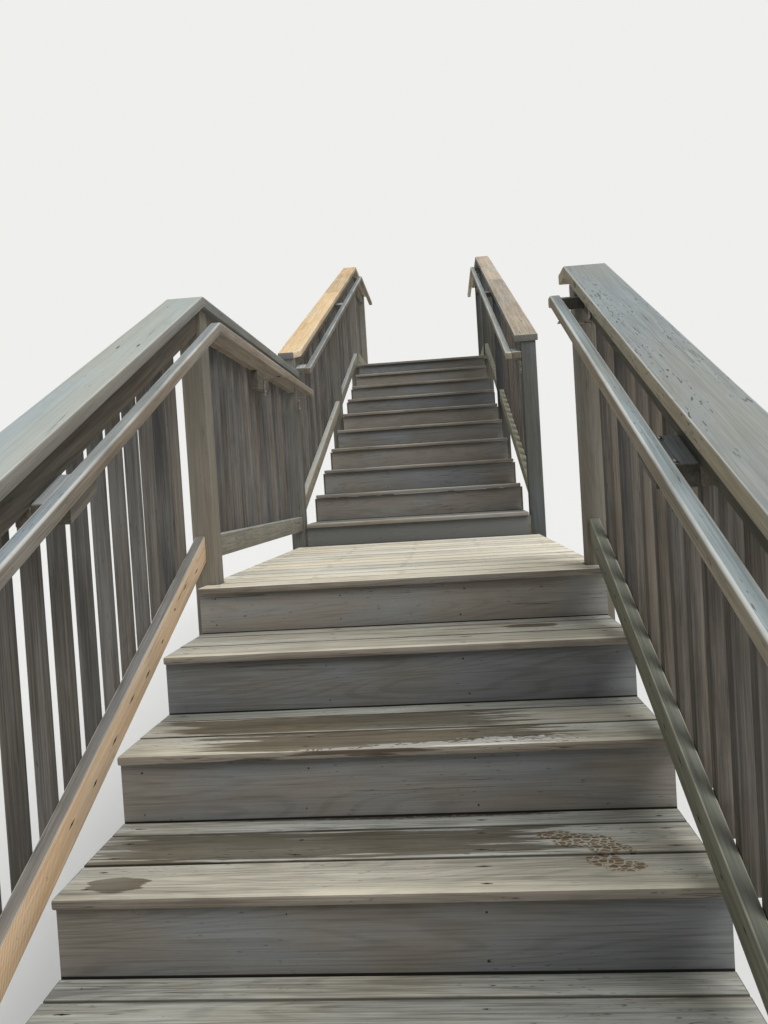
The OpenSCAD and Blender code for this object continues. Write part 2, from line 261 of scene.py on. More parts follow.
def add(tree, kind, inputs=(), out=0, stops=(), **settings):
    """Adds one node with its settings and links. Its inputs go by place or name and take values
    or sockets, and stops are a ramp's places and colours. Gives one output socket."""
    n = tree.nodes.new(kind)
    for key, value in settings.items():
        setattr(n, key, value)
    for key, value in inputs.items() if isinstance(inputs, dict) else enumerate(inputs):
        if isinstance(value, bpy.types.NodeSocket):
            tree.links.new(value, n.inputs[key])
        else:
            n.inputs[key].default_value = value
    for i, (where, colour) in enumerate(stops):
        element = n.color_ramp.elements.new(where) if i > 1 else n.color_ramp.elements[i]
        element.position, element.color = where, linear(colour)
    return n.outputs[out]


MATH, VECTOR, MAP, MIX = "ShaderNodeMath", "ShaderNodeVectorMath", "ShaderNodeMapRange", "ShaderNodeMix"
NOISE, CELLS, RAMP = "ShaderNodeTexNoise", "ShaderNodeTexVoronoi", "ShaderNodeValToRGB"
BUMP, SPLIT = "ShaderNodeBump", "ShaderNodeSeparateXYZ"
ATTRIBUTE, COORDINATES = "ShaderNodeAttribute", "ShaderNodeTexCoord"
SMOOTH = {"interpolation_type": "SMOOTHSTEP"}
COLOURS = {"out": 2, "data_type": "RGBA"}
TIMES, TIMES_PLUS, MINUS, MOST = ({"operation": name} for name in ("MULTIPLY", "MULTIPLY_ADD", "SUBTRACT",
                                                                   "MAXIMUM"))
# Each pattern of the grain: its waves to a metre along and across the board, detail and
# roughness. Streaks are 20 mm wide, fibres 4 mm, clouds 150 mm, checks 18 mm apart.
GRAIN = {"field": (0.6, 7.0, 1.0, 0.6), "streak": (1.3, 50.0, 5.0, 0.7), "fibre": (4.0, 260.0, 3.0, 0.6),
         "cloud": (2.4, 7.0, 5.0, 0.6), "line": (1.1, 55.0, 2.0, 0.6), "open": (1.9, 11.0, 1.0, 0.6),
         "fleck": (34.0, 170.0, 1.0, 0.6), "drift": (1.2, 3.5, 3.0, 0.6), "drawn": (2.6, 60.0, 4.0, 0.6),
         "ragged": (12.0, 12.0, 3.0, 0.6), "stretch": (0.5, 0.5, 0.0, 0.6)}


def timber(name, tones, worn_and_highlit, top=None, streaks=1.0, clouds=1.0, rings=0.5, edge=0.6, flecks=0.3, saw=0.0,
           joints=0.0, painted_foot_shade=False, turn=None, hues=("#fff8ee", "#eef4fb"), ends=("#4a443a", 0.45),
           soaked=(), round_spots=(), beads=(), pools=()):
    """Stained softwood gone grey: streaks, clouds, growth rings, knots, fibres, checks whose insides
    are painted shade, and worn arrises with a painted highlight. tones and top give its pale, middle
    and dark colours, below and on the upper faces. Rain spots are (x, y, half length, half width)."""
    m, t, shader = surface(name, {"Specular IOR Level": 0.3, "IOR": 1.45})
    place = add(t, COORDINATES, out="Object")
    p = add(t, ATTRIBUTE, out="Vector", attribute_name="grain")
    if turn:
        p = add(t, "ShaderNodeMapping", {"Vector": place, "Rotation": turn})
    wet = soaked or round_spots or beads or pools
    grain = {}
    for part, (along, across, detail, roughness) in GRAIN.items():
        if (part in ("drawn", "ragged") and not wet) or (part == "stretch" and not turn):
            continue
        waves = add(t, VECTOR, (p, (along, across, across)), **TIMES)
        waves = {"Vector": waves, "Scale": 1.0, "Detail": detail, "Roughness": roughness}
        grain[part] = add(t, NOISE, waves)
    streak, fibre, cloud = grain["streak"], grain["fibre"], grain["cloud"]
    tone = grain["stretch"] if turn else add(t, ATTRIBUTE, out="Fac", attribute_name="tone")
    wear = add(t, ATTRIBUTE, out="Fac", attribute_name="wear")
    fade = add(t, ATTRIBUTE, out="Fac", attribute_name="fade")
    facing = add(t, SPLIT, (add(t, "ShaderNodeNewGeometry", out="Normal"),), "Z")
    above = add(t, MAP, (facing, 0.35, 0.75), **SMOOTH)
    on_arris = add(t, MATH, (wear, 1.0, 0.1), operation="COMPARE")
    on_end = add(t, MATH, (wear, 2.0, 0.1), operation="COMPARE")
    # Knots up to 25 mm across, about one to every metre of board
    cell = add(t, VECTOR, (p, (1.6, 4.4, 4.4)), **TIMES)
    cell = add(t, CELLS, {"Vector": cell, "Scale": 1.0})
    chance = add(t, "ShaderNodeSeparateColor", (cell.node.outputs["Color"],))
    knotty = add(t, MATH, (chance, 0.6), operation="GREATER_THAN")
    halo = add(t, MAP, (cell, 0.0, 0.28, 1.0, 0.0), **SMOOTH)
    halo = add(t, MATH, (halo, knotty), **TIMES)
    knot = add(t, MAP, (cell, 0.025, 0.06, 1.0, 0.0), **SMOOTH)
    knot = add(t, MATH, (knot, knotty), **TIMES)
    # Growth rings some 5 mm apart: contours of a slow noise drawn out along the board
    ring = add(t, MATH, (halo, 0.16, grain["field"]), **TIMES_PLUS)
    ring = add(t, MATH, (ring, 150.0), **TIMES)
    ring = add(t, MAP, (add(t, MATH, (ring,), operation="SINE"), 0.2, 1.0), **SMOOTH)
    # Drying checks, open only in places, their insides painted near black as painted shade, and
    # short dark flecks
    line = add(t, MATH, (grain["line"], 0.5), **MINUS)
    line = add(t, MATH, (line,), operation="ABSOLUTE")
    line = add(t, MAP, (line, 0.0, 0.012, 1.0, 0.0))
    opened = add(t, MAP, (grain["open"], 0.57, 0.64), **SMOOTH)
    check = add(t, MATH, (line, opened), **TIMES)
    least = 0.70 - 0.08 * flecks
    fleck = add(t, MAP, (grain["fleck"], least, least + 0.08), **SMOOTH)
    crowd = add(t, MAP, (cloud, 0.45, 0.58, 0.0, 0.3 + 0.5 * flecks), **SMOOTH)
    fleck = add(t, MATH, (fleck, crowd), **TIMES)
    # The sum of them picks the colour
    total = 0.5
    for pattern, middle, share in (
            (streak, 0.5, 0.6 * streaks), (cloud, 0.5, 0.5 * streaks * clouds),
            (fibre, 0.5, 0.3 + 0.3 * streaks), (tone, 0.5, 0.2), (ring, 0.25, -0.12 * rings)):
        offset = add(t, MATH, (pattern, middle), **MINUS)
        total = add(t, MATH, (offset, share, total), **TIMES_PLUS)
    if saw:
        # Slanting marks that a band saw left 6 mm apart on the sides
        slant = add(t, VECTOR, (p, (1000.0, 500.0, 500.0)), "Value", operation="DOT_PRODUCT")
        slant = add(t, MATH, (slant,), operation="SINE")
        slant = add(t, MATH, (slant, add(t, MATH, (1.0, above), **MINUS)), **TIMES)
        total = add(t, MATH, (slant, 0.12 * saw, total), **TIMES_PLUS)
    colour = add(t, RAMP, (total,), stops=zip((0.32, 0.5, 0.68), tones[::-1]))
    if top:
        upper = add(t, RAMP, (total,), stops=zip((0.32, 0.5, 0.68), top[::-1]))
        colour = add(t, MIX, {0: above, 6: colour, 7: upper}, **COLOURS)
    # Old stain drifts between warm and cool
    drift = add(t, MATH, (0.5, tone), **MINUS)
    drift = add(t, MATH, (drift, 0.16, grain["drift"]), **TIMES_PLUS)
    drift = add(t, MAP, (drift, 0.38, 0.62), **SMOOTH)
    drift = add(t, MIX, {0: drift, 6: linear(hues[0]), 7: linear(hues[1])}, **COLOURS)
    colour = add(t, MIX, {0: 0.7, 6: colour, 7: drift}, blend_type="MULTIPLY", **COLOURS)
    # Knots and flecks darker; open checks near black, painted shade inside the cracks
    layers = [(add(t, MATH, (knot, 0.7), **TIMES), "#3a332a"), (fleck, "#35322c"),
              (add(t, MATH, (check, 0.7), **TIMES), "#26231e")]
    # Upper arrises rubbed pale and given a painted highlight, strongest where they face up; trodden
    # edges worn pale too, and sawn ends darker
    rubbed_and_highlit = add(t, MAP, (cloud, 0.35, 0.6, 0.3 * edge, edge), **SMOOTH)
    rubbed_and_highlit = add(t, MATH, (rubbed_and_highlit, on_arris), **TIMES)
    upward = add(t, MAP, (facing, 0.0, 0.6, 0.3, 1.0), **SMOOTH)
    rubbed_and_highlit = add(t, MATH, (rubbed_and_highlit, upward), **TIMES)
    if joints:
        # Feet wear the front edge pale, and dirt fills the joints behind it
        front = add(t, MATH, (streak, 0.4, fade), **TIMES_PLUS)
        front = add(t, MAP, (front, 0.95, 1.2), **SMOOTH)
        upward = add(t, MAP, (facing, 0.5, 0.85), **SMOOTH)
        front = add(t, MATH, (front, upward), **TIMES)
        patchy = add(t, MAP, (cloud, 0.36, 0.58, 0.35, 0.95), **SMOOTH)
        front = add(t, MATH, (front, patchy), **TIMES)
        rubbed_and_highlit = add(t, MATH, (rubbed_and_highlit, front), **MOST)
        dirt = add(t, MAP, (fade, 0.3, 0.6, joints, 0.0), **SMOOTH)
        dirt = add(t, MATH, (dirt, on_arris), **TIMES)
        clean = add(t, MATH, (1.0, dirt), **MINUS)
        rubbed_and_highlit = add(t, MATH, (rubbed_and_highlit, clean), **TIMES)
        layers.append((dirt, "#38342d"))
    layers.append((rubbed_and_highlit, worn_and_highlit))
    if painted_foot_shade:
        # Painted shade: a near-black band at a riser's foot, for the unlit gap under it
        gap = add(t, MAP, (fade, 0.982, 0.989, 0.0, 0.95), **SMOOTH)
        layers.append((gap, "#14110e"))
    layers.append((add(t, MATH, (on_end, ends[1]), **TIMES), ends[0]))
    for share, tint in layers:
        colour = add(t, MIX, {0: share, 6: colour, 7: linear(tint)}, **COLOURS)
    dull = add(t, MAP, (cloud, 0.3, 0.7, 0.86, 0.72), **SMOOTH)
    if wet:
        # Rain darkens a board along its grain, spreads round in the soft wood, lies in beads,
        # and stands as a thin bright film. waver frays each spot's edge.
        cells = add(t, VECTOR, (place, (55.0, 80.0, 1.0)), **TIMES)
        cells = add(t, CELLS, {"Vector": cells, "Scale": 1.0}, feature="DISTANCE_TO_EDGE")
        bead = add(t, MAP, (cells, 0.07, 0.12), **SMOOTH)
        reach = {"damp": 0.0, "beaded": 0.0, "film": 0.0}
        for kind, found, fray, waver, blur in (
                ("damp", soaked, "drawn", 1.7, 0.12), ("damp", round_spots, "drawn", 0.9, 0.1),
                ("beaded", beads, "ragged", 1.2, 0.2), ("film", pools, "drawn", 2.0, 0.1)):
            for x, y, rx, ry in found:
                away = add(t, VECTOR, (place, (-x, -y, 0)))
                away = add(t, VECTOR, (away, (1 / rx, 1 / ry, 0)), **TIMES)
                if found is soaked:
                    sides = add(t, SPLIT, (add(t, VECTOR, (away,), operation="ABSOLUTE"),))
                    away = add(t, MATH, (sides, sides.node.outputs["Y"]), **MOST)
                else:
                    away = add(t, VECTOR, (away,), "Value", operation="LENGTH")
                frayed = add(t, MATH, (grain[fray], waver, -waver / 2), **TIMES_PLUS)
                away = add(t, MATH, (away, frayed))
                spot = add(t, MAP, (away, 1.0 - blur, 1.0, 1.0, 0.0), **SMOOTH)
                reach[kind] = add(t, MATH, (reach[kind], spot), **MOST)
        damp = reach["damp"]
        beaded = add(t, MATH, (reach["beaded"], bead), **TIMES)
        film = add(t, MATH, (reach["film"], above), **TIMES)
        for share, tint in ((damp, "#9c958b"), (beaded, "#b39c7c")):
            colour = add(t, MIX, {0: share, 6: colour, 7: linear(tint)}, blend_type="MULTIPLY", **COLOURS)
        dull = add(t, MIX, {0: add(t, MATH, (damp, beaded), **MOST), 2: dull, 3: 0.45})
        dull = add(t, MIX, {0: film, 2: dull, 3: 0.08})
        # The film ripples. Its IOR is above that of water, for a glint that shows
        ripple = add(t, BUMP, {"Height": grain["ragged"], "Strength": 1.0, "Distance": 0.012})
        t.links.new(film, shader["Coat Weight"])
        t.links.new(ripple, shader["Coat Normal"])
        shader["Coat IOR"].default_value = 3.0
    t.links.new(colour, shader["Base Color"])
    t.links.new(dull, shader["Roughness"])
    # Relief 0.4 mm deep: proud late wood, soft fibres worn back, open checks
    height = 0.0
    for pattern, share in ((ring, 0.2), (fibre, 0.6), (streak, 0.8), (check, -2.0)):
        height = add(t, MATH, (pattern, share, height), **TIMES_PLUS)
    bump = add(t, BUMP, {"Height": height, "Strength": 0.8, "Distance": 0.0004})
    t.links.new(bump, shader["Normal"])
    return m


# Bright wire nails gone brown-black, dull with rust
rusty_nail, t, shader = surface("rusted_wire_nails", {"Roughness": 0.7, "Metallic": 0.4})
spots = add(t, NOISE, {"Vector": add(t, COORDINATES, out="Object"), "Scale": 900.0, "Detail": 3.0})
t.links.new(add(t, RAMP, (spots,), stops=((0.0, "#1c1815"), (1.0, "#4d4037"))), shader["Base Color"])
# Painted shade for the unlit inside of a split: nearly black, with a little brown in it
split_shade_wood, t, shader = surface("split_painted_shade", {"Roughness": 0.95})
spots = add(t, NOISE, {"Vector": add(t, COORDINATES, out="Object"), "Scale": 300.0, "Detail": 2.0})
t.links.new(add(t, RAMP, (spots,), stops=((0.0, "#201d19"), (1.0, "#3b372f"))), shader["Base Color"])

clear()
bpy.ops.mesh.primitive_cylinder_add(vertices=8, radius=0.0030, depth=0.0008)
head = bpy.context.active_object
head.data.materials.append(rusty_nail)
pick(head, "FACE", lambda face: face.normal.z > 0.9)
bpy.ops.mesh.inset(thickness=0.0006, depth=-0.0002)
bpy.ops.object.mode_set(mode="OBJECT")
SPLIT_LENGTH, SPLIT_W, SPLIT_T = 0.034, 0.0006, 0.0004
clear()
bpy.ops.mesh.primitive_cube_add(size=1)
tail = bpy.context.active_object
tail.data.materials.append(split_shade_wood)
tail.data.transform(Matrix.Diagonal((SPLIT_LENGTH, SPLIT_W, SPLIT_T, 1)))
divide(tail, 3)
for v in tail.data.vertices:
    v.co.y *= 1 + 9 * (1 - abs(v.co.x) / (SPLIT_LENGTH / 2))
NAILS = {"stained": twin(head, Matrix.Identity(4)), "split": join("split_nail", [head, tail])}

FRONT_FACE = ("#938d84", "#7f7971", "#676159")
LOWER_TREADS = ("#cbc8bb", "#aaa89d", "#7f7d74")
UPPER_TREADS_IN_SHADE = ("#96948c", "#7c7a73", "#5c5a54")
# Pale grey-buff tops with dark dashes, worn cream along the nosings, brown-grey front faces
lower_wood = timber("weathered_pine_lower_treads", FRONT_FACE, "#dfd7c1", top=LOWER_TREADS, edge=0.1,
                    joints=0.75, flecks=0.6)
# The same boards, darker and greyer with painted shade, their arrises paler with a painted highlight
painted_shade_tread_wood = timber("weathered_pine_upper_treads", FRONT_FACE, "#c9c6ba", top=UPPER_TREADS_IN_SHADE, edge=0.4,
                     joints=0.5)
# Wet in places: browner along the grain, a spot, a trail of beads and a film that glints
y1, y2, y3 = (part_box(f"lower_tread_{k}")[0].y for k in (1, 2, 3))
wet_wood = timber(
    "rain_wet_pine_treads", FRONT_FACE, "#dfd7c1", top=LOWER_TREADS, edge=0.1, joints=0.75, flecks=0.6,
    soaked=[(-0.17, y2 + 0.244, 0.54, 0.080), (-0.02, y2 + 0.080, 0.50, 0.080),
            (-0.2, y3 + 0.244, 0.57, 0.080)],
    round_spots=[(-0.619, y3 + 0.067, 0.074, 0.042), (0.455, y1 + 0.270, 0.10, 0.034)],
    beads=[(0.40, y3 + 0.272, 0.05, 0.032), (0.47, y3 + 0.232, 0.075, 0.042), (0.53, y3 + 0.182, 0.06, 0.036),
           (0.505, y3 + 0.132, 0.045, 0.032), (0.545, y3 + 0.100, 0.05, 0.028)],
    pools=[(0.13, y2 + 0.008, 0.36, 0.012), (0.24, y2 + 0.032, 0.28, 0.018), (0.32, y2 + 0.056, 0.16, 0.015)])

STEPS = {"lower": [f"lower_tread_{k}" for k in range(6, 0, -1)] + ["landing_deck"],
         "upper": [f"upper_tread_{k}" for k in range(1, 10)] + ["top_deck"]}
for node in sorted(STEPS["lower"][:-1]) + STEPS["upper"][:-1]:
    low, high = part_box(node)
    wood = painted_shade_tread_wood if "upper" in node else wet_wood if node[-1] in "123" else lower_wood
    parts = []
    for y, width in courses(low, high, TREAD_BOARD):
        front = y == low.y
        gap = BOARD_GAP if y + width > high.y - 0.001 else 0
        tones = (0.7, 1.0) if front else (0.4, 0.7) if width == TREAD_BOARD else (0.0, 0.2)
        parts.append(plank(node + "_board", (low.x, y, low.z), (high.x, y + width - gap, high.z), wood,
                           ease=0.006 if front else 0.003, notches=notched([FOOT_POST], y, width),
                           tone=RNG.uniform(*tones), fade=(1, low.y + TREAD_BOARD, low.y) if front else None))
        parts += nail_down(STRINGERS, y, width, high.z, 0.008, lambda at: abs(at.x) < high.x - 0.01)
    finish(node + "_boards", parts, node)


# Landing and top platform: softwood boards 140 mm wide laid across the joists, bleached paler
# than the treads by the sun, and cut out 4 mm clear of the posts that pass through them.
DECK_BOARD = 0.140
POST_SETBACK = 0.110
JOISTS = [STRINGERS[-1] * i / 2 for i in range(-2, 3)]
# Bleached nearly cream, with grey streaks and black joints
deck_wood = timber("sun_bleached_pine_deck", FRONT_FACE, "#f4ecd8", top=("#fbf4e2", "#e4ddcb", "#b3ac9d"),
                   rings=0.6, edge=0.1, joints=0.75)

for node in ("landing_deck", "top_deck"):
    low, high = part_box(node)
    posts, parts = [low.y + POST_SETBACK], []
    if node == "top_deck":
        # The rear posts pass through its last board
        posts.append(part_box("upper_left_posts")[1].y - POST_W)
    for y, width in courses(low, high, DECK_BOARD):
        near = notched(posts, y, width)
        parts.append(plank(node + "_board", (low.x, y, low.z), (high.x, y + width, high.z), deck_wood,
                           notches=near, fade=(1, low.y + DECK_BOARD, low.y) if y == low.y else None))
        parts += nail_down(JOISTS, y, width, high.z, 0.006,
                           lambda at: not any(a.y < at.y < b.y and abs(at.x) > 0.68 for a, b in near))
    finish(node + "_boards", parts, node)


# Risers: one wide dark-stained board behind each nosing, nailed to the stringers along its top
# and foot. It runs down behind the boards of the tread below, and painted shade darkens its
# foot there.
NOSING, RISER_T = 0.022, 0.019
RISER_FOOT = BOARD_T - 0.001
GROUND_GAP = 0.003
# Even grey-brown stain over sawn boards, drifting warm and cool, with faint rings, and painted
# shade along the foot
riser_wood = timber("stained_pine_risers", ("#93918c", "#82817e", "#6b6a66"), "#8d8a82", streaks=0.3,
                    clouds=2.5, flecks=0.4, painted_foot_shade=True, hues=("#fff1e0", "#e9f1f9"))
for flight, steps in STEPS.items():
    parts = []
    foot = GROUND_GAP if flight == "lower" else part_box("landing_deck")[1].z - RISER_FOOT
    for node in steps:
        low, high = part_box(node)
        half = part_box("upper_tread_1")[1].x if flight == "upper" else high.x
        front = low.y + NOSING
        near = notched([FOOT_POST], front, RISER_T)
        # The upper flight's first riser is the darkest
        parts.append(plank(node + "_riser", (-half, front, foot), (half, front + RISER_T, low.z - 0.0005),
                           riser_wood, ease=0.002, notches=near, fade=(2, low.z, foot + RISER_FOOT),
                           tone=RNG.random() - 0.9 if node == "upper_tread_1" else None))
        for x in STRINGERS:
            for z in (low.z - 0.025, max(foot, 0.02) + 0.05):
                if abs(x) < half - 0.01 and not near:
                    aside, over = RNG.uniform(-0.012, 0.012), RNG.uniform(-0.008, 0.008)
                    at = (x + aside, front + DEEP_SINK, z + over)
                    parts.append(nail(at, (0, -1, 0), (1, 0, 0), "stained"))
        foot = high.z - RISER_FOOT
    finish(flight + "_riser_boards", parts, flight + "_risers")


# Framing: pressure-treated lumber 38 mm thick, left unstained. Notched stringers carry the
# flights, rims and joists the landing and the top platform. Cut edges are only lightly eased.
LUMBER = 0.038
SEAT = 0.0005
PITCH, HEAD = {}, {}
for flight, steps in STEPS.items():
    # Rise over going, then the head nosing's place, the deck's top, and how far the line of
    # the nosings passes over it; steps are measured in whole tenths of a millimetre
    before, last, deck = (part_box(node)[0] for node in steps[-3:])
    rise, going, end = (round(d, 4) for d in (last.z - before.z, last.y - before.y, deck.z - last.z))
    PITCH[flight] = rise / going
    HEAD[flight] = (deck.y, deck.z + BOARD_T, round(rise - end, 4))
TREATED = ("#8b8777", "#6f6b5e", "#504c42")
# Dull grey-brown over the olive of the treatment, streaked along each member
joist_wood = timber("treated_pine_joists", TREATED, "#85806f")
stringer_wood = timber("treated_pine_stringers", TREATED, "#85806f",
                       turn=(-math.atan(PITCH["lower"]), 0, math.pi / 2))


def beam(name, x0, x1, start, end, wood, cuts, wander, ease=0.003, segments=2, clip=None):
    """A member lying in an upright plane, from one cut to another. Each cut is two points
    (y, z), on the member's upper and its lower edge."""
    s = 1 if x1 > x0 else -1
    rings = []
    for i in range(cuts + 1):
        f = i / cuts
        (ty, tz), (by, bz) = ((y + (v - y) * f, z + (w - z) * f) for (y, z), (v, w) in zip(start, end))
        a, b, c = (RNG.uniform(0, wander) for _ in range(3))
        sink = c / math.hypot(by - ty, bz - tz)
        ty, tz = ty + (by - ty) * sink, tz + (bz - tz) * sink
        rings.append([Vector((x, y, z)) for y, z in ((by, bz), (ty, tz)) for x in (x0 + s * a, x1 - s * b)])
    middle = [sum(ring, Vector()) / 4 for ring in (rings[0], rings[-1])]
    piece = grained(sawn(name, rings, ease, segments, clip), middle[1] - middle[0])
    piece.data.materials.append(wood)
    return piece


for node in ("landing_frame", "top_frame"):
    low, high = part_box(node)
    parts = []
    for y in (low.y, high.y - LUMBER):
        parts.append(plank(node + "_rim", (low.x, y, low.z), (high.x, y + LUMBER, high.z), joist_wood, 0.003))
    ends = [((y, high.z), (y, low.z)) for y in (low.y + LUMBER + SEAT, high.y - LUMBER - SEAT)]
    for i in range(5):
        x = low.x + i * (high.x - low.x - LUMBER) / 4
        parts.append(beam(node + "_joist", x, x + LUMBER, *ends, joist_wood, cuts=4, wander=0.0006))
    finish(node + "_lumber", parts, node)
for node in ("lower_stringers", "upper_stringers"):
    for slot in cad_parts[node].material_slots:
        slot.material = stringer_wood


# Posts: stained softwood 89 mm square with eased arrises, standing on the ground and cut off
# to the slope of the caps that lie on them.
FOOT_SETBACK, MID_POST_RUN = 0.020, 2.185
CAP_LEVEL = 1.090
# A line of the railing: its flight, and its top's height over the nosings and over the deck
CAP = {"lower": ("lower", 1.033, CAP_LEVEL), "upper": ("upper", 1.060, CAP_LEVEL)}
# Brown-grey stain gone thin
post_wood = timber("stained_pine_posts", ("#88837a", "#78746b", "#625f57"), "#98938a", streaks=0.6, rings=0.3)
# Nearly black, on the upper right posts
dark_post_wood = timber("dark_stained_pine_posts", ("#5c5e5c", "#4c4e4c", "#3d3f3e"), "#7b7b76", streaks=0.6,
                        rings=0.3)


def plumb(flight, depth):
    """The height, measured plumb, of a board laid along the flight."""
    return depth * math.hypot(1, PITCH[flight])


def edge(line, y, depth):
    """Height of the edge that lies a depth under a line's top, on the slope or on the level."""
    flight, over, level = line
    nose_y, deck, lift = HEAD[flight]
    return min(deck + level - depth, deck + lift + (y - nose_y) * PITCH[flight] + over - plumb(flight, depth))


def bend(line, depth):
    """Where that edge turns from the slope to the level."""
    flight, over, level = line
    nose_y, _, lift = HEAD[flight]
    return nose_y + (level - depth - lift - over + plumb(flight, depth)) / PITCH[flight]


def stop(line, y, top, foot):
    """A plumb cut across a member between two depths under a line."""
    return (y, edge(line, y, top)), (y, edge(line, y, foot))


def upright(name, x0, x1, y, w, low, low_depth, high, high_depth, wood, **shape):
    """A plumb stick whose ends follow the edges of two lines; low may be a plain height."""
    back, front = y + w, y
    foot = [(v, low if isinstance(low, float) else edge(low, v, low_depth)) for v in (back, front)]
    return beam(name, x0, x1, foot, [(v, edge(high, v, high_depth)) for v in (back, front)], wood, **shape)


landing_y, top_y = HEAD["lower"][0], HEAD["upper"][0]
flight_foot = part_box("upper_risers")[0].y + FOOT_SETBACK
POSTS = {"lower": [FOOT_POST, landing_y + POST_SETBACK],
         "upper": [flight_foot, flight_foot + MID_POST_RUN, top_y + POST_SETBACK,
                   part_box("top_deck")[1].y - POST_W]}
for flight, starts in POSTS.items():
    for side, s in (("left", -1), ("right", 1)):
        wood = dark_post_wood if (flight, side) == ("upper", "right") else post_wood
        parts = [upright("post", s * POST_X, s * (POST_X + POST_W), y, POST_W, 0.0, 0, CAP[flight],
                         LUMBER + SEAT, wood, ease=0.005, cuts=8, wander=0.0009) for y in starts]
        finish(f"{flight}_{side}_post_lumber", parts, f"{flight}_{side}_posts")


# Railing panels: between two posts, a bottom rail and a rail under the cap, both 38 by 89 mm on
# edge, with 38 mm square balusters nailed to their outer faces; a nail shows inside at each.
RAIL_W, RAIL_INSET = 0.089, 0.013
RAIL_X = POST_X + RAIL_INSET
RAIL_END = 0.0008
BALUSTER_PITCH, REVEAL = 0.130, 0.010
RAIL_LIFT, LEFT_RAIL_LIFT, LEFT_RAIL_OUT, LEVEL_LIFT = 0.002, 0.019, 0.025, 0.100
FOOT = {f: (f, RAIL_LIFT + plumb(f, RAIL_W), LEVEL_LIFT + RAIL_W) for f in PITCH}
FOOT_LEFT = ("lower", LEFT_RAIL_LIFT + plumb("lower", RAIL_W), LEVEL_LIFT + RAIL_W)
FLAT = {f: (f, CAP_LEVEL, LEVEL_LIFT + RAIL_W) for f in PITCH}
RAIL_TOP = ("#a3a6a5", "#8e918f", "#757774")
# Tan sawn sides, paler and warmer with painted sunlight, with slanting saw marks, under a
# grey-brown top
sunlit_tan_wood = timber("stained_pine_left_foot_rail_painted_sun", ("#f4dcbf", "#e6c9a7", "#c4a583"), "#cfc8b8",
                  top=("#a09b94", "#8a857e", "#716d67"), streaks=0.6, rings=0.3, saw=1.0)
# Olive-grey stain, lighter on top
olive_wood = timber("stained_pine_right_foot_rail", ("#a6a28c", "#8f8c78", "#727060"), "#c4c0ac",
                    top=("#9d9d8c", "#8a8a7a", "#727265"), streaks=0.5, clouds=0.5, rings=0.3)
# Tan-grey sides under a paler, grey-green top
upper_foot_wood = timber("stained_pine_landing_and_upper_foot_rails", ("#a8a191", "#8c8678", "#6d685d"),
                         "#bdb9ae", top=("#b9bcb6", "#a3a6a0", "#84877f"), streaks=0.6, rings=0.3)
# Dark brown-grey stain, grey on top, browner to the left and darker to the right
left_wood = timber("stained_pine_left_rails", ("#8d8375", "#756d61", "#5b554b"), "#a39e96", top=RAIL_TOP,
                   streaks=0.6)
right_wood = timber("stained_pine_right_rails", ("#7c786b", "#686558", "#504e44"), "#b3af9f", top=RAIL_TOP,
                    streaks=0.6)
# The darkest stain of the railing, streaked down the balusters
baluster_wood = timber("stained_pine_left_balusters", ("#7f7a74", "#68645f", "#4f4c48"), "#9a958c", rings=0.2)
dark_baluster_wood = timber("stained_pine_right_balusters", ("#78726a", "#5f5a53", "#454240"), "#8f897f",
                            rings=0.2)
WOODS = {-1: (left_wood, baluster_wood), 1: (right_wood, dark_baluster_wood)}


def regrain(piece):
    """Gives a copy another stretch of grain and another tone."""
    start, tone = elsewhere(), RNG.random()
    for g, d in zip(piece.data.attributes["grain"].data, piece.data.attributes["tone"].data):
        g.vector += start
        d.value = tone
    return piece


def bay(s, flight, low, y0, y1, foot_wood):
    """Both rails between two posts, their balusters and the nails at each. low is the line of
    the bottom rail."""
    cap, (rail_wood, stick_wood) = CAP[flight], WOODS[s]
    x0 = RAIL_X + (LEFT_RAIL_OUT if low is FOOT_LEFT else 0.0)
    x1 = x0 + LUMBER
    ends = y0 + RAIL_END, y1 - RAIL_END
    foot_ends = [stop(low, y, 0, RAIL_W) for y in ends]
    cap_ends = [stop(cap, y, LUMBER + SEAT, LUMBER + RAIL_W) for y in ends]
    parts = [beam("bottom_rail", s * x0, s * x1, *foot_ends, foot_wood, cuts=6, wander=WANDER, ease=0.004),
             beam("top_rail", s * RAIL_X, s * x1, *cap_ends, rail_wood, cuts=6, wander=WANDER)]
    count = math.floor((y1 - y0 - LUMBER) / BALUSTER_PITCH)
    first = (y0 + y1 - (count - 1) * BALUSTER_PITCH - LUMBER) / 2
    model = upright("baluster", s * (x1 + 0.0003), s * (x1 + LUMBER), first, LUMBER, low, RAIL_W - REVEAL,
                    cap, LUMBER + REVEAL, stick_wood, cuts=3, wander=0.0007)
    slope = Vector((0, 1, 0 if low in FLAT.values() else PITCH[flight]))
    for i in range(count):
        y = first + i * BALUSTER_PITCH
        rise = edge(low, y, 0) - edge(low, first, 0)
        parts.append(regrain(twin(model, Matrix.Translation((0, y - first, rise)))))
        at = Vector((s * (x0 + 0.0004), y + LUMBER * RNG.uniform(0.3, 0.7),
                     edge(low, y + LUMBER / 2, RAIL_W * RNG.uniform(0.35, 0.65))))
        parts.append(nail(at, (-s, 0, 0), slope))
    bpy.data.objects.remove(model)
    return parts


